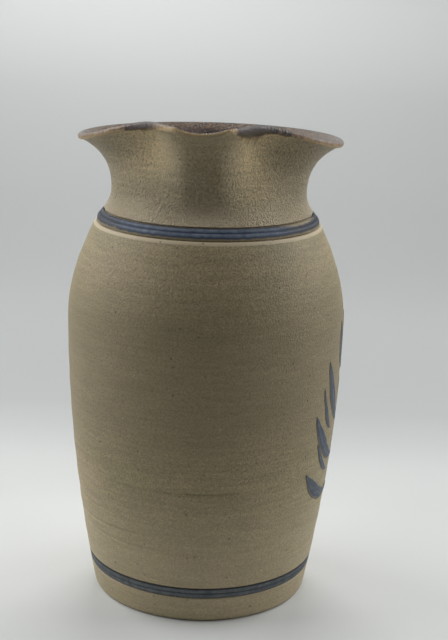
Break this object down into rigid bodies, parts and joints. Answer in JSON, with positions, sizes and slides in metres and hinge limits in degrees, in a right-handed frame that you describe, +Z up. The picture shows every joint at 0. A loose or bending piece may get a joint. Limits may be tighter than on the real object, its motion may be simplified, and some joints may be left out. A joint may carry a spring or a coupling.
{
  "type": "stoneware pitcher",
  "caption": "Tall thrown stoneware pitcher with a flared, pinched spout, a strap handle, ribbed blue slip lines and a brown glaze inside, for holding and pouring drinks.",
  "frame": {"origin": "centre of the flat base, on the table", "axes": "+Z up the pot's axis towards the mouth, -Y towards the spout, +Y towards the handle, +X towards the side with the brushed sprig"},
  "size_m": [0.1451, 0.1887, 0.2545],
  "materials": {
    "clay": "matte salt-glazed stoneware with a fine grain and dark iron specks",
    "blue_slip": "satin slate-blue slip",
    "brown_glaze": "glossy dark brown glaze"
  },
  "bodies": {
    "root": {"body": "clay", "collar": "clay", "handle": "clay", "handle_upper_lute": "clay", "handle_lower_lute": "clay", "liner_glaze": "brown_glaze", "shoulder_line_lower": "blue_slip", "shoulder_line_upper": "blue_slip", "foot_line_lower": "blue_slip", "foot_line_upper": "blue_slip", "sprig_stem": "blue_slip", "sprig_petal_middle": "blue_slip", "sprig_petal_left": "blue_slip", "sprig_petal_right": "blue_slip", "sprig_leaf_lower_left": "blue_slip", "sprig_leaf_lower_right": "blue_slip", "sprig_leaf_middle_left": "blue_slip", "sprig_leaf_middle_right": "blue_slip", "sprig_leaf_upper_left": "blue_slip", "sprig_leaf_upper_right": "blue_slip", "sprig_tendril_lower_left": "blue_slip", "sprig_tendril_lower_right": "blue_slip", "sprig_tendril_upper_left": "blue_slip", "sprig_tendril_upper_right": "blue_slip"}
  },
  "joints": []
}
